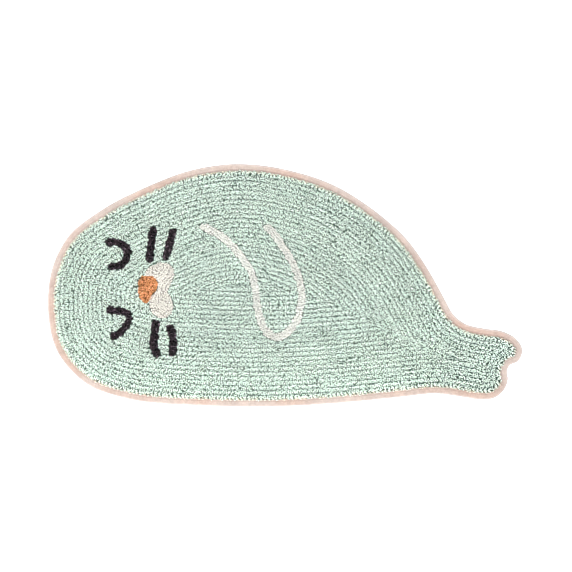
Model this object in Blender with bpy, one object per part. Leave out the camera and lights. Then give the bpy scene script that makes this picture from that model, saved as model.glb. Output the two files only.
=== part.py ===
# Animal shaped kids rug: a tufted mat in the outline of a lying seal, bound with tape.
# Metres, +Z up. The rug lies flat on z = 0 with its origin under the middle of its box;
# the head points to -X, the tail flippers to +X, and the animal's back is at +Y.

import math

import bmesh
import bpy
from mathutils import Vector
from mathutils.geometry import delaunay_2d_cdt, interpolate_bezier

MM = 0.001

RUG_LENGTH = 1000 * MM
GAP = 0.3 * MM  # between pieces that lie against each other

TAPE_WIDTH = 14 * MM  # that shows on top, and as much below
TAPE_THICKNESS = 1 * MM
CANVAS_THICKNESS = 1.6 * MM
CANVAS_SEAM = 2.6 * MM  # the canvas stops this far inside the rug's edge
EDGE_HEIGHT = 2 * TAPE_THICKNESS + CANVAS_THICKNESS + 2 * GAP

PILE_HEIGHT = 11 * MM  # ground and loops together
PILE_SWELL = 0.4 * MM  # the pile's height wanders by this much
SWELL_LENGTH = 190 * MM
YARN_FLOOR = 2.5 * MM  # the coloured yarns stand on the ground from here up
CUTTER_TOP = 20 * MM
FILL_SPACING = 26 * MM  # between the points of the pile's top
FILL_CLEARANCE = 16 * MM  # and from them to its rim

OUTLINE_STEPS = 4  # facets between two stations of the outline
STROKE_STEPS = 3
CREEP_STEP = 1 * MM
CAP_STEPS = 4  # facets round the end of a stroke
SHARP_ANGLE = math.radians(50)

# The animal's outline in mm, counterclockwise from the tip of the head.
OUTLINE = (
    # station              x     y
    ("head tip",         -499,  -40),
    ("cheek, lower",     -476, -145),
    ("jowl",             -417, -207),
    ("chin",             -332, -238),
    ("chest",            -201, -251),
    ("belly",             -43, -255),
    ("belly, rear",       104, -248),
    ("loin, lower",       231, -236),
    ("tail root, lower",  328, -228),
    ("lower flipper",     378, -235),
    ("lower flipper toe", 415, -240),
    ("lower toe, round",  443, -236),
    ("lower flipper tip", 463, -218),
    ("lower tip, inner",  470, -196),
    ("notch, lower",      468, -181),
    ("notch, upper",      473, -169),
    ("upper tip, inner",  491, -159),
    ("upper flipper tip", 500, -136),
    ("upper tip, round",  487, -112),
    ("upper flipper toe", 461,  -97),
    ("upper flipper",     419,  -90),
    ("tail hollow, rear", 380,  -80),
    ("tail hollow",       356,  -62),
    ("tail root, upper",  337,  -29),
    ("tail slope",        299,   39),
    ("rump",              249,  106),
    ("hip",               185,  161),
    ("loin",              104,  211),
    ("back",                9,  243),
    ("back, highest",     -96,  256),
    ("shoulder",         -201,  242),
    ("nape",             -294,  207),
    ("crown",            -391,  156),
    ("brow",             -455,  105),
    ("cheek, upper",     -487,   46),
)

# Strokes of yarn: the middle line in mm, and the stroke's width.
STROKES = {
    # node                   width  middle line
    "eye_upper":            (16.0, ((-369, 91), (-357, 91), (-344, 87), (-334, 77), (-332, 64),
                                    (-337, 51), (-347, 42), (-358, 40), (-365, 40))),
    "eye_lower":            (15.5, ((-370, -51), (-355, -53), (-340, -55), (-330, -60),
                                    (-328, -69), (-333, -81), (-340, -92), (-349, -101),
                                    (-360, -107))),
    "whisker_upper_front":  (15.5, ((-278, 117), (-282, 87), (-285, 57))),
    "whisker_upper_rear":   (15.5, ((-236, 113), (-242, 88), (-251, 61))),
    "whisker_lower_front":  (16.5, ((-272, -80), (-274, -102), (-276, -123), (-271, -144))),
    "whisker_lower_rear":   (16.5, ((-241, -90), (-236, -111), (-236, -141))),
    "flipper_line":         (13.5, ((-170, 123), (-141, 108), (-110, 82), (-85, 52),
                                    (-69, 22), (-62, -7), (-59, -39), (-52, -71),
                                    (-38, -97), (-17, -109), (4, -99), (24, -74),
                                    (33, -44), (35, -16), (30, 12), (19, 41),
                                    (0, 75), (-22, 107), (-36, 122))),
}

# Filled areas of yarn, round which the points run counterclockwise, in mm.
MUZZLE = (
    (-257, 49), (-274, 45), (-289, 36), (-294, 24), (-290, 5), (-288, -14), (-287, -32),
    (-283, -50), (-273, -63), (-253, -69), (-239, -58), (-235, -41), (-239, -26), (-247, -14),
    (-243, -2), (-236, 12), (-234, 31), (-243, 44),
)
NOSE = (
    (-303, 18), (-308, 1), (-305, -23), (-294, -36), (-280, -21), (-268, 2),
    (-274, 15), (-289, 19),
)

# Yarn and cloth colours as a screen shows them, red green blue from 0 to 255.
MINT = (197, 215, 203)
PEACH = (229, 209, 198)
BLACK = (49, 42, 46)
ORANGE = (210, 139, 93)
OFF_WHITE = (232, 230, 221)


# Lines and outlines

def smooth_line(stations, steps, closed):
    """Points along a smooth curve through the stations, with steps to each span."""
    count = len(stations)
    points = [Vector((x * MM, y * MM)) for x, y in stations]

    def direction(i):
        if not closed and i in (0, count - 1):
            return (points[min(i + 1, count - 1)] - points[max(i - 1, 0)]).normalized()
        back = points[i] - points[i - 1]
        ahead = points[(i + 1) % count] - points[i]
        return (back.normalized() * ahead.length + ahead.normalized() * back.length).normalized()

    line = []
    for i in range(count if closed else count - 1):
        start, end = points[i], points[(i + 1) % count]
        reach = (end - start).length / 3
        line += interpolate_bezier(
            start, start + direction(i) * reach,
            end - direction((i + 1) % count) * reach, end, steps + 1)[:-1]
    if not closed:
        line.append(points[-1])
    return [Vector(p[:2]) for p in line]


def inset(outline, distance):
    """The counterclockwise outline, moved in by the distance, or out by a negative one."""
    moved = []
    for i, point in enumerate(outline):
        along = (outline[(i + 1) % len(outline)] - outline[i - 1]).normalized()
        moved.append(point + Vector((-along.y, along.x)) * distance)
    return moved


def creep(outline, distance):
    """The outline moved in by small steps, its points kept evenly apart in tight bends."""
    steps = math.ceil(distance / CREEP_STEP)
    for _ in range(steps):
        moved = inset(outline, distance / steps)
        evened = []
        for i, point in enumerate(moved):
            before, after = moved[i - 1], moved[(i + 1) % len(moved)]
            along = (after - before).normalized()
            slip = ((before + after) / 2 - point).dot(along)
            evened.append(point + along * slip / 2)
        outline = evened
    return outline


def rug_outline():
    """The rug's edge, brought to its exact length and centred on the origin."""
    edge = smooth_line([(x, y) for _, x, y in OUTLINE], OUTLINE_STEPS, closed=True)
    low = Vector((min(p.x for p in edge), min(p.y for p in edge)))
    high = Vector((max(p.x for p in edge), max(p.y for p in edge)))
    fit = RUG_LENGTH / (high.x - low.x)
    return [(p - (low + high) / 2) * fit for p in edge]


def stroke_outline(width, middle):
    """The edge of a stroke with round ends, counterclockwise."""
    line = smooth_line(middle, STROKE_STEPS, closed=False)
    half = width / 2
    sides = []
    for i, point in enumerate(line):
        along = (line[min(i + 1, len(line) - 1)] - line[max(i - 1, 0)]).normalized()
        sides.append((point, along, Vector((along.y, -along.x))))
    edge = [point + right * half for point, _, right in sides]
    edge += round_end(*sides[-1], half)
    edge += [point - right * half for point, _, right in reversed(sides)]
    point, along, right = sides[0]
    edge += round_end(point, -along, -right, half)
    return edge


def round_end(point, along, right, half):
    """Points round the end of a stroke, from its right side to its left."""
    angles = [math.pi * step / CAP_STEPS for step in range(1, CAP_STEPS)]
    return [point + (right * math.cos(a) + along * math.sin(a)) * half for a in angles]


def is_inside(point, outline):
    """Whether a ray from the point to +X crosses the outline an odd number of times."""
    crossings = 0
    for i, a in enumerate(outline):
        b = outline[i - 1]
        if (a.y > point.y) != (b.y > point.y):
            x = a.x + (point.y - a.y) * (b.x - a.x) / (b.y - a.y)
            crossings += x > point.x
    return crossings % 2 == 1


def pile_top(point):
    """The height of the pile, which wanders a little as hand tufting does."""
    swell = math.sin(point.x / SWELL_LENGTH * math.tau) * math.cos(point.y / SWELL_LENGTH * math.tau)
    return PILE_HEIGHT + PILE_SWELL * swell


# Meshes

def finish_object(name, mesh_data, colour):
    """A new object from a bmesh, with a cloth material of its own."""
    bmesh.ops.recalc_face_normals(mesh_data, faces=mesh_data.faces)
    mesh = bpy.data.meshes.new(name)
    mesh_data.to_mesh(mesh)
    mesh_data.free()
    cloth = bpy.data.materials.new(name)
    cloth.use_nodes = True
    shader = cloth.node_tree.nodes["Principled BSDF"]
    linear = [((c / 255 + 0.055) / 1.055) ** 2.4 for c in colour]
    shader.inputs["Base Color"].default_value = (*linear, 1)
    shader.inputs["Roughness"].default_value = 0.95
    shader.inputs["Metallic"].default_value = 0
    mesh.materials.append(cloth)
    mesh.shade_smooth()
    mesh.set_sharp_from_angle(angle=SHARP_ANGLE)
    piece = bpy.data.objects.new(name, mesh)
    bpy.context.scene.collection.objects.link(piece)
    return piece


def add_ring(mesh_data, outline, heights):
    return [mesh_data.verts.new((p.x, p.y, z)) for p, z in zip(outline, heights)]


def bridge(mesh_data, ring_a, ring_b):
    """A band of four-sided faces between two rings of equal count."""
    for i in range(len(ring_a)):
        mesh_data.faces.new((ring_a[i - 1], ring_a[i], ring_b[i], ring_b[i - 1]))


def fill(mesh_data, ring, inner=()):
    """Fills a ring with triangles between its own points and the pile's inner points."""
    edge = [Vector(v.co[:2]) for v in ring]
    loop = list(range(len(ring)))
    points, _, faces, sources, _, _ = delaunay_2d_cdt(edge + list(inner), [], [loop], 1, 1e-6)
    corners = []
    for point, source in zip(points, sources):
        if source[0] < len(ring):
            corners.append(ring[source[0]])
        else:
            corners.append(mesh_data.verts.new((point.x, point.y, pile_top(point))))
    for face in faces:
        mesh_data.faces.new([corners[i] for i in face])


def points_within(edge):
    """Points on a grid of even triangles that lie well inside the edge."""
    row_spacing = FILL_SPACING * math.sqrt(3) / 2
    columns = math.ceil(max(p.x for p in edge) / FILL_SPACING)
    rows = math.ceil(max(p.y for p in edge) / row_spacing)
    inner = []
    for row in range(-rows, rows + 1):
        for column in range(-columns, columns + 1):
            point = Vector(((column + row % 2 / 2) * FILL_SPACING, row * row_spacing))
            clear = min((point - e).length for e in edge) > FILL_CLEARANCE
            if clear and is_inside(point, edge):
                inner.append(point)
    return inner


def upright_solid(name, outline, floor, tops, colour):
    """A closed body with straight sides between a flat floor and the given tops."""
    shape = bmesh.new()
    lower = add_ring(shape, outline, [floor] * len(outline))
    upper = add_ring(shape, outline, tops)
    bridge(shape, lower, upper)
    fill(shape, lower)
    fill(shape, upper)
    return finish_object(name, shape, colour)


def cut(piece, name, outline, floor):
    """Cuts an upright pocket, open at the top, into the piece."""
    cutter = upright_solid(name, outline, floor, [CUTTER_TOP] * len(outline), MINT)
    cutter.hide_render = True
    cutter.display_type = "WIRE"
    pocket = piece.modifiers.new(name, "BOOLEAN")
    pocket.operation = "DIFFERENCE"
    pocket.solver = "EXACT"
    pocket.object = cutter


# The pieces

def make_binding(edge, tape_line):
    """The tape: a folded section that runs round the rug and holds the canvas's edge."""
    inner_top = EDGE_HEIGHT - TAPE_THICKNESS
    fold_inset = CANVAS_SEAM - 2 * GAP
    section = (
        # line, height
        (tape_line, 0),
        (inset(edge, 1.8 * MM), 0),
        (inset(edge, 0.4 * MM), 0.25 * EDGE_HEIGHT),
        (edge, 0.55 * EDGE_HEIGHT),
        (inset(edge, 0.5 * MM), 0.85 * EDGE_HEIGHT),
        (inset(edge, 2.0 * MM), EDGE_HEIGHT),
        (tape_line, EDGE_HEIGHT),
        (tape_line, inner_top),
        (inset(edge, fold_inset), inner_top),
        (inset(edge, 1.2 * MM), EDGE_HEIGHT / 2),
        (inset(edge, fold_inset), TAPE_THICKNESS),
        (tape_line, TAPE_THICKNESS),
    )
    tape = bmesh.new()
    rings = [add_ring(tape, line, [z] * len(line)) for line, z in section]
    for i, ring in enumerate(rings):
        bridge(tape, rings[i - 1], ring)
    return finish_object("binding", tape, PEACH)


def make_mat(edge, tape_line):
    """The canvas ground and the mint pile, whose rim rounds over inside the tape."""
    canvas_under = TAPE_THICKNESS + GAP
    canvas_top = canvas_under + CANVAS_THICKNESS
    canvas_line = inset(edge, CANVAS_SEAM)
    pile_line = inset(tape_line, GAP)
    canvas = (
        # line, height
        (pile_line, 0),
        (pile_line, canvas_under),
        (canvas_line, canvas_under),
        (canvas_line, canvas_top),
        (pile_line, canvas_top),
    )
    rim = (
        # inset from the pile's line, share of the pile's height
        (0.1 * MM, 0.55),
        (1.3 * MM, 0.80),
        (3.7 * MM, 0.94),
        (7.0 * MM, 1.00),
    )
    mat = bmesh.new()
    rings = [add_ring(mat, line, [z] * len(line)) for line, z in canvas]
    for distance, share in rim:
        line = creep(pile_line, distance)
        heights = [canvas_top + (pile_top(p) - canvas_top) * share for p in line]
        rings.append(add_ring(mat, line, heights))
    for lower, upper in zip(rings, rings[1:]):
        bridge(mat, lower, upper)
    fill(mat, rings[0])
    fill(mat, rings[-1], points_within(line))
    return finish_object("mat", mat, MINT)


def make_yarn_area(mat, name, outline, place, colour):
    """An area of another yarn, level with the pile, and the place for it in the mat."""
    cut(mat, "place_of_" + name, place, YARN_FLOOR - GAP)
    return upright_solid(name, outline, YARN_FLOOR, [pile_top(p) for p in outline], colour)


def main():
    for old in list(bpy.data.objects):
        bpy.data.objects.remove(old, do_unlink=True)
    edge = rug_outline()
    tape_line = creep(edge, TAPE_WIDTH)
    make_binding(edge, tape_line)
    mat = make_mat(edge, tape_line)
    for name, (width, middle) in STROKES.items():
        stroke = stroke_outline(width * MM, middle)
        place = stroke_outline(width * MM + 2 * GAP, middle)
        colour = OFF_WHITE if name == "flipper_line" else BLACK
        make_yarn_area(mat, name, stroke, place, colour)
    nose = smooth_line(NOSE, STROKE_STEPS, closed=True)
    nose_place = inset(nose, -GAP)
    make_yarn_area(mat, "nose", nose, nose_place, ORANGE)
    muzzle = smooth_line(MUZZLE, STROKE_STEPS, closed=True)
    muzzle_piece = make_yarn_area(mat, "muzzle", muzzle, inset(muzzle, -GAP), OFF_WHITE)
    cut(muzzle_piece, "place_beside_nose", nose_place, 0)


main()
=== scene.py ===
import math

import bmesh
import bpy
import numpy as np
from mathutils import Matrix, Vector, noise
from mathutils.kdtree import KDTree


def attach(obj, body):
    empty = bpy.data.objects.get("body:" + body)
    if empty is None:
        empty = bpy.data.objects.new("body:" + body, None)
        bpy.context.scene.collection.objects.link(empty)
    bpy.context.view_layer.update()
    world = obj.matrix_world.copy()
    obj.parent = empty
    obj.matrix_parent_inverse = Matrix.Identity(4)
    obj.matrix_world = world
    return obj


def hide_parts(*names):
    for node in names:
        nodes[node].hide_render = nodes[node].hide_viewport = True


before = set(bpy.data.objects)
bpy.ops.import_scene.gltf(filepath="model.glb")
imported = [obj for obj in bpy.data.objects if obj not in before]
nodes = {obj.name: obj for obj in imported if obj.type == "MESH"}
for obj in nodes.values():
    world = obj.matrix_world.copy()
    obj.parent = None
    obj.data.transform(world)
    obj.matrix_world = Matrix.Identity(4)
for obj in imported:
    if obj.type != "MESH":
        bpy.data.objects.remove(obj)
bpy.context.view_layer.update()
print("frame loaded:", len(nodes), "solids")

mm = 0.001
rng = np.random.default_rng(12)

# what the solids have too: the canvas lies between the two layers of the folded tape
rug = {
    "tapeWidth": 14 * mm,
    "tapeThickness": 1.0 * mm,
    "edgeHeight": 4.2 * mm,
    "edgeWidest": 0.52,  # share of that height at which the binding's outline is read
    "canvasUnder": 1.3 * mm,
    "canvasTop": 2.9 * mm,
    "canvasInset": 2.6 * mm,
    "gap": 0.3 * mm,
    "pileTop": 11.0 * mm,
    "swell": 0.4 * mm,
    "swellLength": 190 * mm,
    "boundaryStep": 1.0 * mm,
}

# how outlines are read from the solids; a closed line is an array of x and y, counterclockwise
outlines = {
    "weld": 0.001 * mm,
    "straight": 0.003,  # a corner that turns less than this, as a sine, is left out
    "startWay": (1, 0.37),  # the corner furthest against this way comes first, the same one in every run
}


# follows joined edges from one of them, and takes them from those that are left
def chainFrom(edge, left):
    here = edge.verts[1]
    line = [edge.verts[0].co.xy[:], here.co.xy[:]]
    while edge:
        edge = next((e for e in here.link_edges if e in left), None)
        if edge:
            left.discard(edge)
            here = edge.other_vert(here)
            line.append(here.co.xy[:])
    return np.array(line[:-1])


# the outline that a solid has at a height, without the points of its straight runs
def outlineAt(node, height):
    bm = bmesh.new()
    bm.from_mesh(nodes[node].data)
    bmesh.ops.remove_doubles(bm, verts=bm.verts, dist=outlines["weld"])
    whole = bm.verts[:] + bm.edges[:] + bm.faces[:]
    cut = bmesh.ops.bisect_plane(bm, geom=whole, plane_co=(0, 0, height), plane_no=(0, 0, 1))["geom_cut"]
    left = {e for e in cut if isinstance(e, bmesh.types.BMEdge)}
    best = np.zeros((0, 2))
    while left:
        line = chainFrom(left.pop(), left)
        if len(best) == 0 or abs(areaOf(line)) > abs(areaOf(best)):
            best = line
    bm.free()
    if areaOf(best) < 0:
        best = best[::-1]
    best = np.roll(best, -np.argmin(best @ outlines["startWay"]), 0)
    ahead = np.roll(best, -1, 0) - best
    back = best - np.roll(best, 1, 0)
    turned = abs(ahead[:, 0] * back[:, 1] - ahead[:, 1] * back[:, 0])
    return best[turned > outlines["straight"] * lengths(ahead) * lengths(back)]


def areaOf(line):
    ahead = np.roll(line, -1, 0)
    return (line[:, 0] * ahead[:, 1] - line[:, 1] * ahead[:, 0]).sum() / 2


def lengths(vectors):
    return np.linalg.norm(vectors, axis=-1)


def unit(vectors):
    return vectors / np.maximum(lengths(vectors), 1e-9)[..., None]


# points at even steps along a closed line
def evenly(line, step, fewest=8):
    closed = np.vstack([line, line[:1]])
    along = np.concatenate([[0], np.cumsum(lengths(np.diff(closed, axis=0)))])
    count = max(fewest, round(along[-1] / step))
    at = np.arange(count) * along[-1] / count
    return np.column_stack([np.interp(at, along, closed[:, k]) for k in range(line.shape[1])])


# a smooth closed line through the corners of a faceted one
def smoothed(line, step, parts=16):
    ahead = np.roll(line, -1, 0) - line
    span = lengths(ahead)[:, None]
    spanBefore = np.roll(span, 1, 0)
    tangent = unit(np.roll(unit(ahead), 1, 0) * span + unit(ahead) * spanBefore)
    after, tangentAfter = np.roll(line, -1, 0), np.roll(tangent, -1, 0)
    pieces = []
    for t in np.arange(parts) / parts:
        pieces.append(
            (2 * t**3 - 3 * t**2 + 1) * line + (t**3 - 2 * t**2 + t) * span * tangent
            + (3 * t**2 - 2 * t**3) * after + (t**3 - t**2) * span * tangentAfter)
    return evenly(np.stack(pieces, axis=1).reshape(-1, 2), step)


# directions along a closed line, and to the left of it, which is inwards
def alongOf(line):
    return unit(np.roll(line, -1, 0) - np.roll(line, 1, 0))


def leftOf(line):
    along = alongOf(line)
    return np.column_stack([-along[:, 1], along[:, 0]])


# moves a closed line inwards by small steps that keep its points evenly apart in tight bends
def crept(line, distance, step=0.5 * mm, slides=3):
    steps = max(1, math.ceil(distance / step))
    for _ in range(steps):
        line = line + leftOf(line) * distance / steps
        for _ in range(slides):
            middle = (np.roll(line, 1, 0) + np.roll(line, -1, 0)) / 2
            along = alongOf(line)
            slip = ((middle - line) * along).sum(1, keepdims=True)
            line = line + along * slip / 2
    return line


def treeOf(points):
    tree = KDTree(len(points))
    for i, point in enumerate(points):
        tree.insert((*point[:2], 0), i)
    tree.balance()
    return tree


# how far each point is from the nearest one of a tree, and which one that is
def nearest(points, tree):
    found = [tree.find((x, y, 0)) for x, y in points]
    return np.array([f[2] for f in found]), np.array([f[1] for f in found])


def insideOf(points, line):
    inside = np.zeros(len(points), bool)
    near = np.flatnonzero((points > line.min(0)).all(1) & (points < line.max(0)).all(1))
    x, y = points[near].T
    count = np.zeros(len(near), int)
    for a, b in zip(line, np.roll(line, -1, 0)):
        crosses = (a[1] > y) != (b[1] > y)
        if crosses.any():
            count += crosses & (a[0] + (y - a[1]) * (b[0] - a[0]) / (b[1] - a[1] or 1) > x)
    inside[near] = count % 2 == 1
    return inside


def swellAt(points):
    turn = math.tau / rug["swellLength"]
    return rug["swell"] * np.sin(points[:, 0] * turn) * np.cos(points[:, 1] * turn)


edgeLine = smoothed(outlineAt("binding", rug["edgeWidest"] * rug["edgeHeight"]), rug["boundaryStep"])
print("outline:", len(edgeLine), "points,", round(len(edgeLine) * rug["boundaryStep"], 3), "m round")


# materials: each function returns a socket or a material
def newMaterial(name):
    material = bpy.data.materials.new(name)
    material.use_nodes = True
    return material, material.node_tree, material.node_tree.nodes["Principled BSDF"]


def placeIn(tree):
    return tree.nodes.new("ShaderNodeTexCoord").outputs["Object"]


def attributeOf(tree, name, output="Fac"):
    node = tree.nodes.new("ShaderNodeAttribute")
    node.attribute_name = name
    return node.outputs[output]


def partsOf(tree, vector):
    node = tree.nodes.new("ShaderNodeSeparateXYZ")
    tree.links.new(vector, node.inputs[0])
    return node.outputs["X"], node.outputs["Y"], node.outputs["Z"]


# a colour as a screen shows it, in parts of 255, turned into the linear one that a shader takes
def linear(red, green, blue):
    return tuple(((c / 255 + 0.055) / 1.055) ** 2.4 for c in (red, green, blue)) + (1,)


# one math node, its inputs either numbers or sockets
def calc(tree, operation, *values):
    node = tree.nodes.new("ShaderNodeMath")
    node.operation = operation
    for socket, value in zip(node.inputs, values):
        if isinstance(value, bpy.types.NodeSocket):
            tree.links.new(value, socket)
        else:
            socket.default_value = value
    return node.outputs[0]


def noiseAt(tree, vector, scale, detail=2.0, roughness=0.5):
    node = tree.nodes.new("ShaderNodeTexNoise")
    node.inputs["Scale"].default_value = scale
    node.inputs["Detail"].default_value = detail
    node.inputs["Roughness"].default_value = roughness
    tree.links.new(vector, node.inputs["Vector"])
    return node.outputs["Fac"]


# a number moved from one range to another, held at both ends
def ranged(tree, value, fromLow, fromHigh, toLow, toHigh):
    node = tree.nodes.new("ShaderNodeMapRange")
    node.inputs["From Min"].default_value = fromLow
    node.inputs["From Max"].default_value = fromHigh
    node.inputs["To Min"].default_value = toLow
    node.inputs["To Max"].default_value = toHigh
    tree.links.new(value, node.inputs["Value"])
    return node.outputs["Result"]


def mixed(tree, factor, first, second, blend="MIX"):
    node = tree.nodes.new("ShaderNodeMix")
    node.data_type = "RGBA"
    node.blend_type = blend
    for socket, value in zip((node.inputs[0], node.inputs[6], node.inputs[7]), (factor, first, second)):
        if isinstance(value, bpy.types.NodeSocket):
            tree.links.new(value, socket)
        else:
            socket.default_value = value
    return node.outputs[2]


# nearly all of a noise lies between these
noiseSpan = (0.3, 0.7)


# a level multiplied by a pattern, which is made to run from the least factor to the most
def scaled(tree, level, pattern, span, reach):
    return calc(tree, "MULTIPLY", level, ranged(tree, pattern, *span, *reach))


# a colour made darker or lighter by a level
def shaded(tree, body, level):
    grey = tree.nodes.new("ShaderNodeCombineColor")
    for socket in grey.inputs:
        tree.links.new(level, socket)
    return mixed(tree, 1.0, body, grey.outputs[0], "MULTIPLY")


def bumped(tree, height, distance, strength=1.0, below=None):
    node = tree.nodes.new("ShaderNodeBump")
    node.inputs["Distance"].default_value = distance
    node.inputs["Strength"].default_value = strength
    tree.links.new(height, node.inputs["Height"])
    if below is not None:
        tree.links.new(below, node.inputs["Normal"])
    return node.outputs["Normal"]


yarnFinish = {
    "roughness": 0.95,
    "specular": 0.2,
    "sheenRoughness": 0.5,
    "feet": 3.4 * mm,  # below this height the painted shade is deepest
    "crown": 7.2 * mm,  # and above this one it has its full colour, free of painted shade
    "plyTurn": 4.6 * mm,  # length of yarn in which its two plies turn once
    "plySpan": (0.0, 0.75),
    "plyReach": (0.48, 1.05),  # the shade in the groove between the plies, and the light on them
    "plyDepth": 0.35 * mm,
    "plyStrength": 0.8,
    "plyByTone": 60,  # turns the plies of each loop by its tone, so that neighbours differ
    "slubScale": 560,
    "slubReach": (0.76, 1.24),
    "fibreScale": 2600,
    "fibreSpan": (0.25, 0.75),
    "fibreReach": (0.92, 1.08),
    "fibreDepth": 0.10 * mm,
    "fibreStrength": 0.7,
    "patchScale": 9,
    "patchReach": (0.965, 1.035),
    "streakScale": 42,
    "streakReach": (0.96, 1.04),
    "tintTones": (0.55, 1),  # loops of a high tone take some of the tint
    "tintMost": 0.5,
    "paintedBellyLight": 0.10,  # painted light along the belly, and a little painted shade at the tail
    "bellySide": (-0.20, -0.11),
    "bellyRear": (0.22, 0.34),
    "bellyAtTail": -0.4,
    "rimColour": (246, 228, 208),  # lint of the tape on the loops beside it
}


# how much painted light makes the pile paler at a place along the belly, or painted shade darker at the
# tail
def bellyPaintedLightAt(tree, x, y):
    beside = ranged(tree, y, *yarnFinish["bellySide"], yarnFinish["paintedBellyLight"], 0)
    before = ranged(tree, x, *yarnFinish["bellyRear"], 1, yarnFinish["bellyAtTail"])
    return calc(tree, "ADD", calc(tree, "MULTIPLY", beside, before), 1)


# the two plies that turn round each other along the yarn
def plyAt(tree, tone):
    x, y, z = partsOf(tree, attributeOf(tree, "twist", "Vector"))
    angle = calc(tree, "ARCTAN2", y, x)
    phase = calc(tree, "MULTIPLY_ADD", z, math.tau / yarnFinish["plyTurn"], angle)
    phase = calc(tree, "MULTIPLY_ADD", tone, yarnFinish["plyByTone"], phase)
    return calc(tree, "ABSOLUTE", calc(tree, "SINE", phase))


# soft spun yarn: a colour that wanders from loop to loop, with painted shade that deepens towards the feet
def yarnMaterial(name, full, shade, tint, toneReach, sheen):
    material, tree, shader = newMaterial(name)
    place = placeIn(tree)
    x, y, z = partsOf(tree, place)
    tone = ranged(tree, attributeOf(tree, "tone"), 0, 1, 0, 1)
    ply = plyAt(tree, tone)
    patches = noiseAt(tree, place, yarnFinish["patchScale"])
    streaks = noiseAt(tree, place, yarnFinish["streakScale"], detail=1)
    fibre = noiseAt(tree, place, yarnFinish["fibreScale"], roughness=0.6)
    slubs = noiseAt(tree, place, yarnFinish["slubScale"], detail=0)
    level = calc(tree, "MULTIPLY_ADD", tone, toneReach, 1 - toneReach / 2)
    level = scaled(tree, level, patches, noiseSpan, yarnFinish["patchReach"])
    level = scaled(tree, level, streaks, noiseSpan, yarnFinish["streakReach"])
    level = scaled(tree, level, fibre, yarnFinish["fibreSpan"], yarnFinish["fibreReach"])
    level = scaled(tree, level, ply, yarnFinish["plySpan"], yarnFinish["plyReach"])
    level = scaled(tree, level, slubs, noiseSpan, yarnFinish["slubReach"])
    level = calc(tree, "MULTIPLY", level, bellyPaintedLightAt(tree, x, y))
    # painted shade: low on the loops the yarn goes from its shade colour to its full one
    height = ranged(tree, z, yarnFinish["feet"], yarnFinish["crown"], 0, 1)
    body = mixed(tree, height, linear(*shade), linear(*full))
    tinted = ranged(tree, tone, *yarnFinish["tintTones"], 0, yarnFinish["tintMost"])
    body = mixed(tree, tinted, body, linear(*tint))
    body = mixed(tree, attributeOf(tree, "rim"), body, linear(*yarnFinish["rimColour"]))
    tree.links.new(shaded(tree, body, level), shader.inputs["Base Color"])
    normal = bumped(tree, ply, yarnFinish["plyDepth"], yarnFinish["plyStrength"])
    normal = bumped(tree, fibre, yarnFinish["fibreDepth"], yarnFinish["fibreStrength"], normal)
    tree.links.new(normal, shader.inputs["Normal"])
    shader.inputs["Roughness"].default_value = yarnFinish["roughness"]
    shader.inputs["Specular IOR Level"].default_value = yarnFinish["specular"]
    shader.inputs["Sheen Weight"].default_value = sheen
    shader.inputs["Sheen Roughness"].default_value = yarnFinish["sheenRoughness"]
    return material


# each yarn's third colour is painted shade, which it takes at its feet
yarnColours = {
    # yarn     material        full colour      painted shade    tint             tone  sheen
    "mint":   ("mintYarn",     (229, 248, 237), (102, 128, 112), (244, 252, 243), 0.42, 0.05),
    "black":  ("blackYarn",    (51, 40, 46),    (1, 1, 1),       (118, 102, 112), 1.7,  0.03),
    "muzzle": ("offWhiteYarn", (247, 244, 236), (186, 176, 166), (251, 249, 245), 0.22, 0.05),
    "orange": ("orangeYarn",   (233, 160, 108), (112, 32, 6),    (248, 200, 156), 0.84, 0.05),
    "line":   ("paleYarn",     (252, 253, 247), (226, 221, 212), (253, 251, 247), 0.16, 0.05),
}
yarns = {yarn: yarnMaterial(*values) for yarn, values in yarnColours.items()}

tapeFinish = {
    "face": (180, 165, 157),
    "worn": (183, 159, 147),
    "fold": (194, 181, 175),
    "foldFade": (1.8 * mm, 4.6 * mm),  # distances from the fold over which its colour goes
    "threadPitch": 0.62 * mm,
    "weaveReach": (0.95, 1.03),
    "weaveDepth": 0.09 * mm,
    "weaveStrength": 0.7,
    "slubScale": 380,
    "slubReach": (0.92, 1.08),
    "slubDepth": 0.10 * mm,
    "slubStrength": 0.6,
    "patchScale": 26,
    "patchReach": (0.90, 1.08),
    "blotchScale": 130,
    "blotchReach": (0.91, 1.09),
    "wearScale": 7,
    "wearSpan": (0.4, 0.6),
    "seamFade": (0.3 * mm, 1.3 * mm),
    "seamShade": 0.95,
    "joinFade": (0.2 * mm, 0.9 * mm),
    "joinShade": 0.8,
    "joinWidth": 1.2 * mm,
    "joinDepth": 0.35 * mm,
    "joinStrength": 0.8,
    "roughness": 0.88,
    "specular": 0.25,
    "sheen": 0.12,
    "sheenRoughness": 0.5,
}


# how far one socket is from a value or another socket
def apart(tree, first, second):
    return calc(tree, "ABSOLUTE", calc(tree, "SUBTRACT", first, second))


# plain weave: threads of a pitch along and across
def weaveOf(tree, along, across, pitch):
    turns = math.tau / pitch / 2
    warp = calc(tree, "SINE", calc(tree, "MULTIPLY", across, turns))
    weft = calc(tree, "SINE", calc(tree, "MULTIPLY", along, turns))
    return calc(tree, "MULTIPLY", warp, weft)


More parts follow.
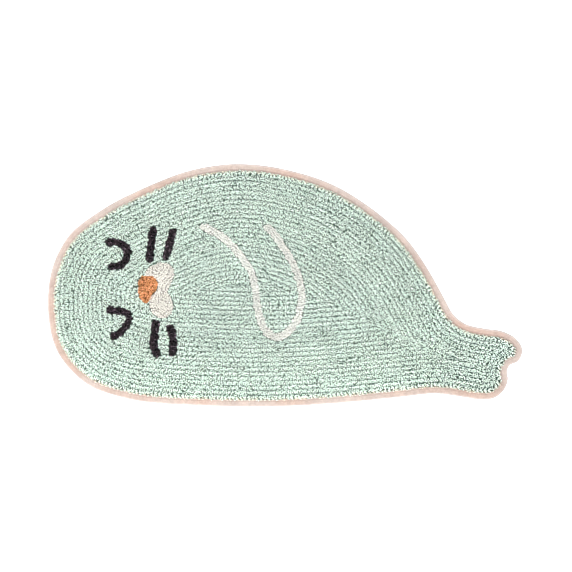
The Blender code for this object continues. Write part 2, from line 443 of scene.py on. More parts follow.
# cotton tape, on its own UV map in metres: along it and across it
def tapeMaterial(name, seams, foldAt, joinAt):
    material, tree, shader = newMaterial(name)
    uv = tree.nodes.new("ShaderNodeUVMap")
    uv.uv_map = "weave"
    along, across, _ = partsOf(tree, uv.outputs[0])
    place = placeIn(tree)
    weave = weaveOf(tree, along, across, tapeFinish["threadPitch"])
    patches = noiseAt(tree, place, tapeFinish["patchScale"], detail=3, roughness=0.6)
    blotches = noiseAt(tree, place, tapeFinish["blotchScale"])
    slubs = noiseAt(tree, place, tapeFinish["slubScale"], roughness=0.6)
    wear = ranged(tree, noiseAt(tree, place, tapeFinish["wearScale"]), *tapeFinish["wearSpan"], 0, 1)
    atFold = ranged(tree, apart(tree, across, foldAt), *tapeFinish["foldFade"], 1, 0)
    body = mixed(tree, wear, linear(*tapeFinish["face"]), linear(*tapeFinish["worn"]))
    body = mixed(tree, atFold, body, linear(*tapeFinish["fold"]))
    level = ranged(tree, patches, *noiseSpan, *tapeFinish["patchReach"])
    level = scaled(tree, level, blotches, noiseSpan, tapeFinish["blotchReach"])
    level = scaled(tree, level, slubs, noiseSpan, tapeFinish["slubReach"])
    level = scaled(tree, level, weave, (-1, 1), tapeFinish["weaveReach"])
    for seam in seams:  # painted shade: the cloth is a little darker along its stitches, where they draw it in
        fromSeam = apart(tree, across, seam)
        level = scaled(tree, level, fromSeam, tapeFinish["seamFade"], (tapeFinish["seamShade"], 1))
    join = apart(tree, calc(tree, "SUBTRACT", along, joinAt), across)  # its ends meet on a slant
    level = scaled(tree, level, join, tapeFinish["joinFade"], (tapeFinish["joinShade"], 1))
    tree.links.new(shaded(tree, body, level), shader.inputs["Base Color"])
    groove = ranged(tree, join, 0, tapeFinish["joinWidth"], 0, 1)
    normal = bumped(tree, groove, tapeFinish["joinDepth"], tapeFinish["joinStrength"])
    normal = bumped(tree, slubs, tapeFinish["slubDepth"], tapeFinish["slubStrength"], normal)
    normal = bumped(tree, weave, tapeFinish["weaveDepth"], tapeFinish["weaveStrength"], normal)
    tree.links.new(normal, shader.inputs["Normal"])
    shader.inputs["Roughness"].default_value = tapeFinish["roughness"]
    shader.inputs["Specular IOR Level"].default_value = tapeFinish["specular"]
    shader.inputs["Sheen Weight"].default_value = tapeFinish["sheen"]
    shader.inputs["Sheen Roughness"].default_value = tapeFinish["sheenRoughness"]
    return material


threadFinish = {
    "light": (164, 143, 134),
    "darkShare": 0.86,
    "fibreScale": 5200,
    "fibreDepth": 0.05 * mm,
    "fibreStrength": 0.7,
    "roughness": 0.7,
}


def threadMaterial(name):
    material, tree, shader = newMaterial(name)
    fibre = noiseAt(tree, placeIn(tree), threadFinish["fibreScale"], detail=1)
    shade = ranged(tree, fibre, *noiseSpan, 0, 1)
    dark = (part * threadFinish["darkShare"] for part in threadFinish["light"])
    body = mixed(tree, shade, linear(*dark), linear(*threadFinish["light"]))
    tree.links.new(body, shader.inputs["Base Color"])
    normal = bumped(tree, fibre, threadFinish["fibreDepth"], threadFinish["fibreStrength"])
    tree.links.new(normal, shader.inputs["Normal"])
    shader.inputs["Roughness"].default_value = threadFinish["roughness"]
    return material


canvasFinish = {
    "light": (226, 217, 198),
    "dark": (178, 167, 146),
    "threadPitch": 2.2 * mm,
    "weaveShare": 0.5,  # of the shading; the slubs have the rest
    "weaveDepth": 0.3 * mm,
    "weaveStrength": 0.8,
    "slubScale": 300,
    "slubDepth": 0.2 * mm,
    "slubStrength": 0.6,
    "roughness": 0.95,
    "specular": 0.2,
}


# coarse canvas, its threads along and across the rug
def canvasMaterial(name):
    material, tree, shader = newMaterial(name)
    place = placeIn(tree)
    x, y, _ = partsOf(tree, place)
    weave = weaveOf(tree, y, x, canvasFinish["threadPitch"])
    slubs = noiseAt(tree, place, canvasFinish["slubScale"], detail=3, roughness=0.6)
    fromSlubs = ranged(tree, slubs, *noiseSpan, 0, 1 - canvasFinish["weaveShare"])
    fromWeave = ranged(tree, weave, -1, 1, 0, 1)
    shade = calc(tree, "MULTIPLY_ADD", fromWeave, canvasFinish["weaveShare"], fromSlubs)
    body = mixed(tree, shade, linear(*canvasFinish["dark"]), linear(*canvasFinish["light"]))
    tree.links.new(body, shader.inputs["Base Color"])
    normal = bumped(tree, slubs, canvasFinish["slubDepth"], canvasFinish["slubStrength"])
    normal = bumped(tree, weave, canvasFinish["weaveDepth"], canvasFinish["weaveStrength"], normal)
    tree.links.new(normal, shader.inputs["Normal"])
    shader.inputs["Roughness"].default_value = canvasFinish["roughness"]
    shader.inputs["Specular IOR Level"].default_value = canvasFinish["specular"]
    return material


paperFinish = {
    "dark": (246, 246, 246),
    "light": (250, 250, 250),
    "mottleScale": 3,
    "roughness": 0.9,
    "specular": 0.1,
    "glow": 0.4,
}


def paperMaterial(name):
    material, tree, shader = newMaterial(name)
    mottle = noiseAt(tree, placeIn(tree), paperFinish["mottleScale"])
    body = mixed(tree, mottle, linear(*paperFinish["dark"]), linear(*paperFinish["light"]))
    tree.links.new(body, shader.inputs["Base Color"])
    shader.inputs["Roughness"].default_value = paperFinish["roughness"]
    shader.inputs["Specular IOR Level"].default_value = paperFinish["specular"]
    # the paper glows a little: painted light that keeps the floor white in the rug's shadow
    shader.inputs["Emission Color"].default_value = (1, 1, 1, 1)
    shader.inputs["Emission Strength"].default_value = paperFinish["glow"]
    return material


print("materials made")


def newPiece(name, mesh, material):
    mesh.name = name
    mesh.materials.clear()
    mesh.materials.append(material)
    piece = bpy.data.objects.new(name, mesh)
    bpy.context.scene.collection.objects.link(piece)
    return piece


def meshFrom(bm, name):
    mesh = bpy.data.meshes.new(name)
    bm.to_mesh(mesh)
    bm.free()
    mesh.shade_smooth()
    return mesh


def trianglesOf(piece):
    return sum(len(p.vertices) - 2 for p in piece.data.polygons)


# makes what a piece's modifiers show its own mesh
def applyModifiers(piece):
    graph = bpy.context.evaluated_depsgraph_get()
    mesh = bpy.data.meshes.new_from_object(
        piece.evaluated_get(graph), preserve_all_data_layers=True, depsgraph=graph)
    piece.modifiers.clear()
    piece.data = mesh
    mesh.name = piece.name


# the shapes of loop that are mixed: each an arch of yarn on two legs, whose bow skews its crown
loopShapes = (
    # name        span      leg        yarn       bow
    ("loopPlain", 2.5 * mm, 6.25 * mm, 2.38 * mm, 0.0),
    ("loopWide",  3.0 * mm, 6.05 * mm, 2.32 * mm, 0.5 * mm),
    ("loopLeft",  2.5 * mm, 6.25 * mm, 2.45 * mm, 0.6 * mm),
    ("loopRight", 2.7 * mm, 6.15 * mm, 2.38 * mm, -0.7 * mm),
)
archMesh = {"sides": 4, "bends": 3, "level": 0.001 * mm}


# an arch of round yarn on two legs
def makeArch(name, span, leg, yarn, bow=0.0):
    bm = bmesh.new()
    bmesh.ops.create_circle(bm, cap_ends=True, radius=yarn / 2, segments=archMesh["sides"])
    bmesh.ops.translate(bm, vec=(span / 2, 0, 0), verts=bm.verts)
    bmesh.ops.spin(
        bm, geom=bm.verts[:] + bm.edges[:] + bm.faces[:], cent=(0, 0, 0), axis=(0, -1, 0),
        angle=math.pi, steps=archMesh["bends"], use_merge=False, use_duplicate=False)
    ends = [f for f in bm.faces if abs(f.calc_center_median().z) < archMesh["level"]]
    legs = {v for end in ends for v in end.verts}
    bmesh.ops.translate(bm, vec=(0, 0, -leg), verts=list(legs))
    bmesh.ops.recalc_face_normals(bm, faces=bm.faces)
    twist = bm.verts.layers.float_vector.new("twist")
    for v in bm.verts:
        v[twist] = twistAt(v.co, span)
        if v.co.z > 0:
            v.co.y += bow * v.co.z / (span / 2) * math.copysign(1, v.co.x)
        v.co.z += leg
    return newPiece(name, meshFrom(bm, name), yarns["mint"])


# a place round the yarn and its length along the yarn, for the turn of the plies
def twistAt(co, span):
    if co.z <= 0:
        side = math.copysign(1, co.x)
        length = co.z if side > 0 else math.pi * span / 2 - co.z
        return Vector((side * co.x - span / 2, co.y, length))
    around = math.atan2(co.z, co.x)
    return Vector((math.hypot(co.x, co.z) - span / 2, co.y, around * span / 2))


# a node group that sets the shapes of a collection at points, turned and sized by their attributes
def planterGroup(templates):
    group = bpy.data.node_groups.new("loopPlanter", "GeometryNodeTree")
    group.interface.new_socket("Geometry", in_out="INPUT", socket_type="NodeSocketGeometry")
    group.interface.new_socket("Geometry", in_out="OUTPUT", socket_type="NodeSocketGeometry")
    n, l = group.nodes, group.links
    start, end = n.new("NodeGroupInput"), n.new("NodeGroupOutput")
    shapes = n.new("GeometryNodeCollectionInfo")
    shapes.inputs["Collection"].default_value = templates
    shapes.inputs["Separate Children"].default_value = True
    shapes.inputs["Reset Children"].default_value = True
    place = n.new("GeometryNodeInstanceOnPoints")
    place.inputs["Pick Instance"].default_value = True
    readings = (("turn", "FLOAT_VECTOR", "Rotation"), ("size", "FLOAT_VECTOR", "Scale"),
                ("shape", "INT", "Instance Index"))
    for name, kind, socket in readings:
        read = n.new("GeometryNodeInputNamedAttribute")
        read.data_type = kind
        read.inputs["Name"].default_value = name
        source = next(o for o in read.outputs if o.enabled and o.name == "Attribute")
        if socket == "Rotation":
            convert = n.new("FunctionNodeEulerToRotation")
            l.new(source, convert.inputs[0])
            source = convert.outputs[0]
        l.new(source, place.inputs[socket])
    real = n.new("GeometryNodeRealizeInstances")
    l.new(start.outputs[0], place.inputs["Points"])
    l.new(shapes.outputs[0], place.inputs["Instance"])
    l.new(place.outputs[0], real.inputs[0])
    l.new(real.outputs[0], end.inputs[0])
    return group


def collectionOf(name, members):
    collection = bpy.data.collections.new(name)
    for member in members:
        bpy.context.scene.collection.objects.unlink(member)
        collection.objects.link(member)
    return collection


# what each planted point carries
pointLayers = (
    # layer    kind            field
    ("turn",  "FLOAT_VECTOR", "vector"),
    ("size",  "FLOAT_VECTOR", "vector"),
    ("tone",  "FLOAT",        "value"),
    ("rim",   "FLOAT",        "value"),
    ("shape", "INT",          "value"),
)


# sets copies of the shapes at points and joins them into one mesh
def planted(name, group, stand, material):
    mesh = bpy.data.meshes.new(name)
    mesh.from_pydata(stand["at"].tolist(), [], [])
    for layerName, kind, field in pointLayers:
        layer = mesh.attributes.new(layerName, kind, "POINT")
        layer.data.foreach_set(field, stand[layerName].ravel())
    piece = newPiece(name, mesh, material)
    piece.modifiers.new("plant", "NODES").node_group = group
    applyModifiers(piece)
    for used in ("turn", "size", "shape"):
        if used in piece.data.attributes:
            piece.data.attributes.remove(piece.data.attributes[used])
    piece.data.materials.clear()
    piece.data.materials.append(material)
    piece.data.shade_smooth()
    return piece


# rows of loops that run round inside an outline; a row is some lanes of loops wide
pileRows = {
    "first": 1.8 * mm,  # the first lane's place inside its area's line
    "pitch": 9.9 * mm,
    "lanes": (0, 2.25 * mm, 4.5 * mm, 6.75 * mm),
    "along": 4.1 * mm,
    "alongJitter": 0.5 * mm,
    "wander": 0.22 * mm,
    "turn": 44,  # of the loops against their lane, one way and the other by turns
    "turnJitter": 24,
    "reach": 1.1 * mm,  # from a loop's middle to the ends of its crown
    "closest": 2.0 * mm,
    "fillBeyond": 2.0 * mm,  # loops off the rows fill what is left, this far from the others
    "fillGrid": 1.6 * mm,
    "fillFrom": 0.9,  # their first place, as a share of the first lane's
    "deepest": 250 * mm,
    "missed": 0.03,  # the share of loops that are left out
    "clearOfColour": 0.9 * mm,
    "followColour": 4.0 * mm,  # nearer to a coloured area, a loop off the rows runs along it
    "stretch": (1.0, 1.0),
    "toneSpread": 0.12,
    "paintedLaneShade": (-0.6, 0.14, 0.28, 0.08),  # painted shade in the furrows, and painted light on the middles of rows
    "laneChance": 0.07,
}

colourRows = {
    "first": 1.9 * mm,
    "pitch": 3.0 * mm,
    "lanes": (0,),
    "along": 2.9 * mm,
    "alongJitter": 0.5 * mm,
    "wander": 0.6 * mm,
    "turn": 52,
    "turnJitter": 24,
    "reach": 1.3 * mm,
    "closest": 2.0 * mm,
    "fillBeyond": 2.05 * mm,
    "fillGrid": 1.4 * mm,
    "fillFrom": 0.9,
    "deepest": 40 * mm,
    "stretch": (1.05, 1.1),
    "toneSpread": 0.22,
    "paintedLaneShade": (0,),
    "laneChance": 0.0,
}

laneSlack = 0.12 * mm  # a lane stops where another side of the line is nearer than its own, less this

# how the loops stand: degrees, and shares of their size
stance = {
    "lean": 6.5,  # any way
    "rimCalm": 0.5,  # less of that at the rim
    "rimLean": 28,  # out over the tape
    "rimVaries": (0.5, 1.2),
    "rimReach": 7 * mm,
    "rimTone": 0.35,
    "rimInsets": (2.2 * mm, 4 * mm, 8 * mm),
    "rimHeights": (0.86, 0.95, 1.0),
    "lintReach": 4 * mm,
    "rowLean": 3.0,
    "furrow": 0.09,
    "height": 0.05,
    "girth": 0.06,
    "rooted": 0.6 * mm,  # below the canvas's top
}


# the runs of neighbouring points of a closed line that are kept, each a list of their numbers
def runsOf(kept):
    start = 0 if kept.all() else int(np.argmin(kept))
    runs, run = [], []
    for i in (np.arange(len(kept)) + start) % len(kept):
        if kept[i]:
            run.append(i)
        elif run:
            runs.append(run)
            run = []
    return runs + [run] if run else runs


# places along the lanes inside a line, a row for each: x, y, its direction's x and y, the lane's
# number, and how far the lane lies inside the line
def lanesInside(line, tree, rows):
    inward, along = leftOf(line), alongOf(line)
    insets = np.add.outer(np.arange(rows["first"], rows["deepest"], rows["pitch"]), rows["lanes"]).ravel()
    found = []
    for number, inset in enumerate(insets):
        moved = line + inward * inset
        distance, _ = nearest(moved, tree)
        kept = distance > inset - laneSlack
        if not kept.any():
            break
        for run in runsOf(kept):
            points, ways = moved[run], along[run]
            if kept.all():
                points, ways = np.vstack([points, points[:1]]), np.vstack([ways, ways[:1]])
            way = np.concatenate([[0], np.cumsum(lengths(np.diff(points, axis=0)))])
            count = round(way[-1] / rows["along"])
            if count < 1:
                continue
            at = (np.arange(count) + rng.random()) * way[-1] / count
            at = at % way[-1]
            at = np.clip(at + rng.normal(0, rows["alongJitter"], count), 0, way[-1])
            spot = np.column_stack([np.interp(at, way, values) for values in (*points.T, *ways.T)])
            found.append(np.column_stack([spot, np.full(count, number), np.full(count, inset)]))
    return np.vstack(found)


# turns the loops against their lanes
def turnLoops(places, rows):
    angle = rows["turn"] * np.where(np.arange(len(places)) % 2 > 0, 1, -1)
    angle = np.radians(angle + rng.normal(0, rows["turnJitter"], len(places)))
    angle += np.arctan2(places[:, 3], places[:, 2])
    places[:, 2] = np.cos(angle)
    places[:, 3] = np.sin(angle)
    return places


# each loop's middle and the two ends of its crown
def spotsOf(places, reach):
    step = places[:, 2:4] * reach
    return np.stack([places[:, :2], places[:, :2] + step, places[:, :2] - step])


# keeps the places that aren't too near one kept before
def thinned(places, closest, known=None):
    cells = {}
    kept = []
    if known is not None:
        for x, y in known:
            cells.setdefault((int(x // closest), int(y // closest)), []).append((x, y))
    for i, (x, y) in enumerate(places):
        column, row = int(x // closest), int(y // closest)
        near = (p for c in range(column - 1, column + 2) for r in range(row - 1, row + 2)
                for p in cells.get((c, r), ()))
        if all((x - a) ** 2 + (y - b) ** 2 >= closest**2 for a, b in near):
            cells.setdefault((column, row), []).append((x, y))
            kept.append(i)
    return np.array(kept, int)


# a grid of places inside a line, moved about, with the nearest point of the line to each
def gridInside(line, tree, rows):
    low, high = line.min(0), line.max(0)
    step = rows["fillGrid"]
    gridX, gridY = np.meshgrid(np.arange(low[0], high[0], step), np.arange(low[1], high[1], step))
    grid = np.column_stack([gridX.ravel(), gridY.ravel()])
    grid += rng.uniform(-step / 2, step / 2, grid.shape)
    distance, which = nearest(grid, tree)
    within = ((grid - line[which]) * leftOf(line)[which]).sum(1) > rows["first"] * rows["fillFrom"]
    return grid[within], distance[within], which[within]


# every loop's place inside a line and outside some holes: those of the lanes, then those between them
def loopPlaces(line, rows, holes=()):
    tree = treeOf(line)
    places = lanesInside(line, tree, rows)
    places[:, :2] += rng.normal(0, rows["wander"], (len(places), 2))
    places = turnLoops(places, rows)
    places = places[thinned(places[:, :2], rows["closest"])]
    grid, distance, which = gridInside(line, tree, rows)
    ways = alongOf(line)[which]
    if holes:
        rimTree = treeOf(np.vstack(holes))
        rimWays = np.vstack([alongOf(hole) for hole in holes])
        spots = spotsOf(places, rows["reach"])
        inHole = np.zeros(spots.shape[:2], bool)
        gridInHole = np.zeros(len(grid), bool)
        for hole in holes:
            inHole |= np.stack([insideOf(part, hole) for part in spots])
            gridInHole |= insideOf(grid, hole)
        fromRim, _ = nearest(places[:, :2], rimTree)
        places = places[~inHole.any(0) & (fromRim > rows["clearOfColour"])]
        fromRim, rimPoint = nearest(grid, rimTree)
        ways = np.where((fromRim < rows["followColour"])[:, None], rimWays[rimPoint], ways)
        free = ~gridInHole & (fromRim > rows["clearOfColour"])
        grid, distance, ways = grid[free], distance[free], ways[free]
    extra = thinned(grid, rows["fillBeyond"], known=spotsOf(places, rows["reach"]).reshape(-1, 2))
    fill = np.column_stack([grid[extra], ways[extra], np.full(len(extra), 1), distance[extra]])
    return np.vstack([places, turnLoops(fill, rows)])


# how near to the line the places are: 1 at the first lane, and 0 beyond a distance
def nearRim(places, rows, reach):
    return np.clip(1 - (places[:, 5] - rows["first"]) / reach, 0, 1)


# turns the places into what the planter reads; rimLean is 0 where no tape lies round the area
def standing(places, rows, height, rimLean):
    count = len(places)
    laneCount = len(rows["lanes"])
    turn = np.arctan2(places[:, 3], places[:, 2])
    fromRim = nearRim(places, rows, stance["rimReach"])
    outward = np.radians(rimLean) * fromRim * rng.uniform(*stance["rimVaries"], count)
    calm = 1 - stance["rimCalm"] * fromRim[:, None]
    tilt = rng.normal(0, np.radians(stance["lean"]), (count, 2)) * calm
    across = np.zeros(count)
    if laneCount > 1:  # the lanes of a row lean apart a little, so that a furrow shows beside them
        across = (places[:, 4] % laneCount) / (laneCount - 1) * 2 - 1
        outward += np.radians(stance["rowLean"]) * across
    tilt += places[:, 2:4] * outward[:, None]  # leaning outwards is a turn about the row's own direction
    cos, sin = np.cos(-turn), np.sin(-turn)
    own = np.column_stack([tilt[:, 0] * cos - tilt[:, 1] * sin, tilt[:, 0] * sin + tilt[:, 1] * cos])
    share = height * rng.normal(1, stance["height"], count) * (1 + swellAt(places) / rug["pileTop"])
    share *= 1 + stance["furrow"] * (0.5 - abs(across))
    girth = rng.uniform(1 - stance["girth"], 1 + stance["girth"], count)
    lane = places[:, 4].astype(int)
    # painted shade darkens the loops of the furrows, and painted light lightens the middles of rows
    tone = rng.normal(0.5, rows["toneSpread"], count) + np.array(rows["paintedLaneShade"])[lane % laneCount]
    tone += rng.normal(0, rows["laneChance"], lane.max() + 1)[lane]
    tone += stance["rimTone"] * fromRim * (rimLean > 0)
    lint = nearRim(places, rows, stance["lintReach"]) * rng.random(count) * (rimLean > 0)
    return {
        "at": np.column_stack([places[:, :2], np.full(count, rug["canvasTop"] - stance["rooted"])]),
        "turn": np.column_stack([own, turn]),
        "size": np.column_stack([girth * rows["stretch"][0], girth * rows["stretch"][1], share]),
        "tone": np.clip(tone, 0, 1),
        "rim": lint,
        "shape": rng.integers(0, len(loopShapes), count).astype(np.int32),
    }


def picked(stand, chosen):
    return {layer: values[chosen] for layer, values in stand.items()}


# in the order of their names, as the planter numbers them
templates = [makeArch(*shape) for shape in sorted(loopShapes)]
loopCollection = collectionOf("loopShapes", templates)
loopGroup = planterGroup(loopCollection)

# areas of coloured yarn: the solid that each stands for, its name here, its yarn and its slot
colourAreas = (
    ("eye_upper", "eyeUpperLoops", "black", "black_yarn"),
    ("eye_lower", "eyeLowerLoops", "black", "black_yarn"),
    ("whisker_upper_front", "whiskerUpperFrontLoops", "black", "black_yarn"),
    ("whisker_upper_rear", "whiskerUpperRearLoops", "black", "black_yarn"),
    ("whisker_lower_front", "whiskerLowerFrontLoops", "black", "black_yarn"),
    ("whisker_lower_rear", "whiskerLowerRearLoops", "black", "black_yarn"),
    ("muzzle", "muzzleLoops", "muzzle", "white_yarn"),
    ("nose", "noseLoops", "orange", "orange_yarn"),
    ("flipper_line", "flipperLineLoops", "line", "white_yarn"),
)

# areas of yarn end in whole loops, so their edges are uneven
raggedEdges = {
    # yarn     depth     grown
    "black":  (3.6 * mm, 0.0),
    "muzzle": (2.4 * mm, 0.2 * mm),
    "orange": (3.0 * mm, 0.8 * mm),
    "line":   (3.4 * mm, 1.3 * mm),
}
raggedNoise = {"scale": 150, "slice": 0.3}

# the yarn's packed feet fill the ground between the loops up to these heights, as pads dark with painted
# shade
shadedPadTops = {"mint": 3.6 * mm, "black": 4.8 * mm, "muzzle": 5.4 * mm, "orange": 5.0 * mm, "line": 5.4 * mm}
shadedPadShape = {"inset": 1.0 * mm, "step": 3.5 * mm, "sunk": 0.2 * mm}
areaHeight = 6 * mm  # at which the outlines of the coloured areas are read


def raggedLine(line, depth, grown):
    bumps = [noise.noise(Vector((x, y, raggedNoise["slice"])) * raggedNoise["scale"]) for x, y in line]
    return line + leftOf(line) * (np.array(bumps)[:, None] * depth - grown)


# a low pad inside a line, for the imported feet, which shows as painted shade in the gaps between loops; it
# starts a little inside what lies below it
def shadedFeetPad(bm, line, low, high):
    low -= shadedPadShape["sunk"]
    inner = crept(evenly(line, shadedPadShape["step"]), shadedPadShape["inset"])
    ring = [bm.verts.new((x, y, low)) for x, y in inner]
    out = bmesh.ops.extrude_face_region(bm, geom=[bm.faces.new(ring)])["geom"]
    raised = [v for v in out if isinstance(v, bmesh.types.BMVert)]
    bmesh.ops.translate(bm, vec=(0, 0, high - low), verts=raised)
    pad = {f for v in ring + raised for f in v.link_faces}
    bmesh.ops.recalc_face_normals(bm, faces=list(pad))


def makeColourArea(node, name, yarn, slot):
    line = smoothed(outlineAt(node, areaHeight), rug["boundaryStep"])
    line = raggedLine(line, *raggedEdges[yarn])
    places = loopPlaces(line, colourRows)
    piece = planted(name, loopGroup, standing(places, colourRows, 1.0, 0), yarns[yarn])
    bm = bmesh.new()
    bm.from_mesh(piece.data)
    # a pad of painted shade fills the gaps between the loops
    shadedFeetPad(bm, line, shadedPadTops["mint"], shadedPadTops[yarn])
    bm.to_mesh(piece.data)
    bm.free()
    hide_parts(node)
    print(name, len(places), "loops")
    return piece, line


pieces = []
colourLines = []
for area in colourAreas:
    piece, line = makeColourArea(*area)
    pieces.append(piece)
    colourLines.append(line)

pileNames = ("pileHead", "pileShoulder", "pileMiddle", "pileHip", "pileTail")
pileLine = evenly(crept(edgeLine, rug["tapeWidth"] + rug["gap"]), rug["boundaryStep"])


# the mint pile, in pieces from the head to the tail
def makePile():
    places = loopPlaces(pileLine, pileRows, colourLines)
    places = places[rng.random(len(places)) >= pileRows["missed"]]
    rimHeight = np.interp(places[:, 5], stance["rimInsets"], stance["rimHeights"])
    stand = standing(places, pileRows, rimHeight, stance["rimLean"])
    print("mint pile:", len(places), "loops")
    fromHead = np.argsort(places[:, 0], kind="stable")
    made = []
    for name, chosen in zip(pileNames, np.array_split(fromHead, len(pileNames))):
        piece = planted(name, loopGroup, picked(stand, chosen), yarns["mint"])
        print(name, len(chosen), "loops,", trianglesOf(piece), "triangles")
        made.append(piece)
    bm = bmesh.new()
    # a pad of painted shade fills the gaps between the loops
    shadedFeetPad(bm, pileLine, rug["canvasTop"], shadedPadTops["mint"])
    pad = newPiece("pileFeet", meshFrom(bm, "pileFeet"), yarns["mint"])
    pad.data.shade_flat()
    made.append(pad)
    return made


for piece in makePile():
    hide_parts("mat")
    pieces.append(piece)


ground = {
    "cell": 25 * mm,
    "lineStep": 3 * mm,
    "weld": 0.01 * mm,
    "sharp": 40,  # degrees
}


# a ring of edges moved out into a new one, its points put on a line in the same order
def extrudeRing(bm, ring, line, height):
    edges = [bm.edges.get((v, ring[i - 1])) for i, v in enumerate(ring)]
    out = bmesh.ops.extrude_edge_only(bm, edges=edges)["geom"]
    fresh = {v for v in out if isinstance(v, bmesh.types.BMVert)}
    newRing = []
    for v, (x, y) in zip(ring, line):
        other = next(e.other_vert(v) for e in v.link_edges if e.other_vert(v) in fresh)
        other.co = (x, y, height)
        newRing.append(other)
    return newRing


# the canvas: a sheet whose rim lies in the tape's fold, between its two layers
def makeGround():
    base = evenly(edgeLine, ground["lineStep"])
    canvasLine = crept(base, rug["canvasInset"])
    inner = crept(base, rug["tapeWidth"] + rug["gap"])
    bm = bmesh.new()
    ring = [bm.verts.new((x, y, rug["canvasTop"])) for x, y in inner]
    bm.faces.new(ring)
    for line, height in ((canvasLine, rug["canvasTop"]), (canvasLine, rug["canvasUnder"]),
                         (inner, rug["canvasUnder"]), (inner, 0)):
        ring = extrudeRing(bm, ring, line, height)
    bmesh.ops.contextual_create(bm, geom=ring)
    for axis in (0, 1):
        reach = max(abs(edgeLine[:, axis]))
        for k in range(-int(reach / ground["cell"]), int(reach / ground["cell"]) + 1):
            at, way = [0, 0, 0], [0, 0, 0]
            at[axis], way[axis] = k * ground["cell"], 1
            whole = bm.verts[:] + bm.edges[:] + bm.faces[:]
            bmesh.ops.bisect_plane(bm, geom=whole, plane_co=at, plane_no=way, dist=ground["weld"])
    bmesh.ops.recalc_face_normals(bm, faces=bm.faces)
    piece = newPiece("groundCloth", meshFrom(bm, "groundCloth"), canvasMaterial("groundCanvas"))
    piece.data.set_sharp_from_angle(angle=math.radians(ground["sharp"]))
    return piece


groundCloth = makeGround()
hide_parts("mat")
print("ground made:", len(groundCloth.data.polygons), "faces")


tape = {
    "step": 4.2 * mm,
    "seamInset": 10.9 * mm,
    "seamDepth": 0.35 * mm,
    "seamSpread": 0.8 * mm,
    "foldRadius": 1.6 * mm,
    "foldInset": 2.1 * mm,  # where the fold's round begins
    "foldSteps": 6,
    "besideFold": (8.2 * mm, 10.4 * mm),  # places across it, from its sewn edge
    "besideEdge": (0, 1.4 * mm),
    "besideSeam": (-1.0 * mm, 0, 1.0 * mm, 2.6 * mm),  # and from its seam
    "plainInset": 2.2 * mm,  # further in than this, its lines are evened out in tight bends
    "wave": 0.5 * mm,
    "waveScale": 21,
    "waveReach": 9 * mm,
    "pucker": 0.18 * mm,
    "puckerScale": 85,
    "puckerAcross": 2,  # how much faster the puckers change across it than along it
    "joinAt": (-0.487, 0.018),  # near where its ends meet
    "joinAlong": 14 * mm,
    "edgeWander": 1.1 * mm,  # of the sewn edge's place on the pile's side
    "edgeScale": 34,
    "edgeSlice": 3,
    "edgeReach": 5 * mm,
    "weld": 0.02 * mm,
    "sharp": 50,  # degrees
}
flatRun = rug["tapeWidth"] - tape["foldInset"]
foldRun = math.pi * tape["foldRadius"]
tapeFlat = 2 * flatRun + foldRun


# how deep the stitches draw the tape in, at a place across it
def seamDip(across):
    over = rug["tapeWidth"] - tape["seamInset"]
    return tape["seamDepth"] * math.exp(-((across - over) / tape["seamSpread"]) ** 2)


# the middle of the folded tape's thickness: inset from the rug's edge and height, at a place across it
def foldPoint(across):
    high = rug["edgeHeight"] - rug["tapeThickness"] / 2
    low = rug["tapeThickness"] / 2
    if across < flatRun:
        return rug["tapeWidth"] - across, high - seamDip(across)
    if across > flatRun + foldRun:
        back = tapeFlat - across
        return rug["tapeWidth"] - back, low + seamDip(back)
    radius = tape["foldRadius"]
    angle = (across - flatRun) / radius
    return tape["foldInset"] - radius * math.sin(angle), (high + low) / 2 + radius * math.cos(angle)


# places across the tape, closer together at its seam and round its fold
def acrossSteps():
    over = rug["tapeWidth"] - tape["seamInset"]
    top = [*tape["besideEdge"], *(over + step for step in tape["besideSeam"]), *tape["besideFold"], flatRun]
    bend = [flatRun + foldRun * k / tape["foldSteps"] for k in range(1, tape["foldSteps"])]
    return top + bend + [tapeFlat - s for s in reversed(top)]


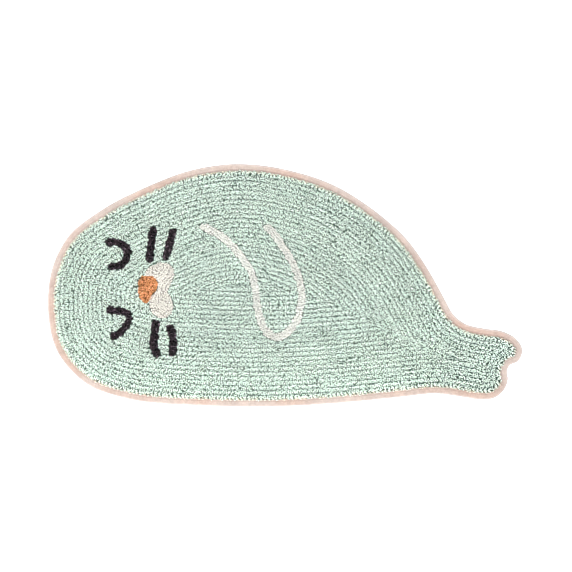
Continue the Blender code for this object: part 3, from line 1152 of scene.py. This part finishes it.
# the tape: a grid along the rug's edge and across the fold, whose ends are joined
def makeTape():
    base = evenly(edgeLine, tape["step"])
    count = len(base)
    steps = acrossSteps()
    start = int(np.argmin(lengths(base - np.array(tape["joinAt"]))))
    base = np.roll(base, -start, 0)
    bm = bmesh.new()
    uvLayer = bm.loops.layers.uv.new("weave")
    bmesh.ops.create_grid(bm, x_segments=count, y_segments=len(steps) - 1, size=1)
    length = lengths(np.roll(base, -1, 0) - base).sum()
    inward = leftOf(base)
    lines = {}
    for across in steps:
        inset, _ = foldPoint(across)
        if inset not in lines:
            lines[inset] = crept(base, inset) if inset > tape["plainInset"] else base + inward * inset
    place = {}
    for v in bm.verts:
        column = round((v.co.x + 1) / 2 * count)
        row = round((v.co.y + 1) / 2 * (len(steps) - 1))
        place[v] = (column, row)
    for face in bm.faces:
        for corner in face.loops:
            column, row = place[corner.vert]
            corner[uvLayer].uv = (column / count * length, steps[row])
    for v, (column, row) in place.items():
        inset, height = foldPoint(steps[row])
        at = base[column % count]
        outer = max(0, 1 - inset / tape["waveReach"])
        wave = noise.noise(Vector((*at, 0)) * tape["waveScale"]) * tape["wave"] * outer
        inner = max(0, (inset - tape["waveReach"]) / tape["edgeReach"])
        wander = noise.noise(Vector((*at, tape["edgeSlice"])) * tape["edgeScale"])
        wander = wander * tape["edgeWander"] * inner
        moved = Vector(inward[column % count]) * (wave + wander + tape["wave"] / 2 * outer)
        x, y = Vector(lines[inset][column % count]) + moved
        if height > rug["edgeHeight"] / 2:
            bump = noise.noise(Vector((x, y, inset * tape["puckerAcross"])) * tape["puckerScale"])
            height += bump * tape["pucker"]
        v.co = (x, y, height)
    bmesh.ops.remove_doubles(bm, verts=bm.verts, dist=tape["weld"])
    bmesh.ops.recalc_face_normals(bm, faces=bm.faces)
    over = rug["tapeWidth"] - tape["seamInset"]
    cotton = tapeMaterial("peachTape", (over, tapeFlat - over), tapeFlat / 2, tape["joinAlong"])
    piece = newPiece("bindingTape", meshFrom(bm, "bindingTape"), cotton)
    thick = piece.modifiers.new("thickness", "SOLIDIFY")
    thick.thickness = rug["tapeThickness"]
    thick.offset = 0
    thick.use_even_offset = True
    thick.use_quality_normals = True
    applyModifiers(piece)
    piece.data.set_sharp_from_angle(angle=math.radians(tape["sharp"]))
    return piece, base, length


bindingTape, tapeBase, tapeLength = makeTape()
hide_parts("binding")
print("tape made:", len(bindingTape.data.polygons), "faces,", round(tapeLength, 3), "m long")

stitch = {
    "pitch": 4.0 * mm,
    "span": 2.5 * mm,
    "thread": 0.55 * mm,
    "leg": 0.5 * mm,
    "flat": 0.34,  # height, as a share of a round arch's
    "lineStep": 2 * mm,
    "turnVaries": 0.05,
    "proud": 0.12 * mm,  # over the tape's top
    "clear": 0.02 * mm,  # of the floor
}


# lockstitches along the seam, on top and below
def makeStitches():
    line = evenly(crept(evenly(edgeLine, stitch["lineStep"]), tape["seamInset"]), stitch["pitch"])
    ways = alongOf(line)
    turn = np.arctan2(ways[:, 1], ways[:, 0]) + rng.normal(0, stitch["turnVaries"], len(line))
    template = makeArch("stitchShape", stitch["span"], stitch["leg"], stitch["thread"])
    group = planterGroup(collectionOf("stitchShapes", [template]))
    height = stitch["flat"] * (stitch["span"] / 2 + stitch["thread"] / 2) + stitch["flat"] * stitch["leg"]
    topZ = rug["edgeHeight"] + stitch["proud"] - height
    sides = []
    for z, roll in ((topZ, 0), (height + stitch["clear"], math.pi)):
        sides.append({
            "at": np.column_stack([line, np.full(len(line), z)]),
            "turn": np.column_stack([np.full(len(line), roll), np.zeros(len(line)), turn]),
            "size": np.tile([1, 1, stitch["flat"]], (len(line), 1)),
            "tone": rng.random(len(line)),
            "rim": np.zeros(len(line)),
            "shape": np.zeros(len(line), np.int32),
        })
    both = {key: np.concatenate([side[key] for side in sides]) for key in sides[0]}
    piece = planted("bindingStitches", group, both, threadMaterial("peachThread"))
    return piece, template


bindingStitches, stitchTemplate = makeStitches()
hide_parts("binding")
print("stitches made:", len(bindingStitches.data.polygons), "faces")

# the single shapes have served
for template in templates + [stitchTemplate]:
    bpy.data.objects.remove(template)
for collection in list(bpy.data.collections):
    if collection.name in ("loopShapes", "stitchShapes"):
        bpy.data.collections.remove(collection)

for piece in pieces + [groundCloth, bindingTape, bindingStitches]:
    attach(piece, "root")


studio = {
    "floorSize": 30,
    "floorDrop": 0.4 * mm,
    "keyPower": 87,
    "keySize": 1.1,
    "keyFrom": (-0.62, -1.05, 2.55),
    "fill": 0.92,
}

camera = {"lens": 85, "sensor": 36, "field": 1.2067, "aim": (0.0021, -0.0010), "near": 0.05, "far": 60}


def makeStudio():
    bm = bmesh.new()
    bmesh.ops.create_grid(bm, x_segments=1, y_segments=1, size=studio["floorSize"] / 2)
    bmesh.ops.translate(bm, vec=(0, 0, -studio["floorDrop"]), verts=bm.verts)
    floor = newPiece("floor", meshFrom(bm, "floor"), paperMaterial("floorPaper"))
    world = bpy.data.worlds.new("studioWhite")
    world.use_nodes = True
    background = world.node_tree.nodes["Background"]
    background.inputs["Color"].default_value = (1, 1, 1, 1)
    background.inputs["Strength"].default_value = studio["fill"]
    bpy.context.scene.world = world
    light = bpy.data.lights.new("keyLight", "AREA")
    light.energy = studio["keyPower"]
    light.size = studio["keySize"]
    key = bpy.data.objects.new("keyLight", light)
    key.location = studio["keyFrom"]
    key.rotation_euler = Vector(studio["keyFrom"]).to_track_quat("Z", "Y").to_euler()
    bpy.context.scene.collection.objects.link(key)


def makeCamera():
    data = bpy.data.cameras.new("topCamera")
    data.lens = camera["lens"]
    data.sensor_width = camera["sensor"]
    data.clip_start = camera["near"]
    data.clip_end = camera["far"]
    view = bpy.data.objects.new("topCamera", data)
    distance = camera["field"] * camera["lens"] / camera["sensor"]
    view.location = (*camera["aim"], distance)
    bpy.context.scene.collection.objects.link(view)
    bpy.context.scene.camera = view


makeStudio()
makeCamera()
bpy.context.scene.view_settings.view_transform = "Standard"
bpy.context.scene.view_settings.look = "None"
bpy.context.scene.cycles.filter_width = 1.0
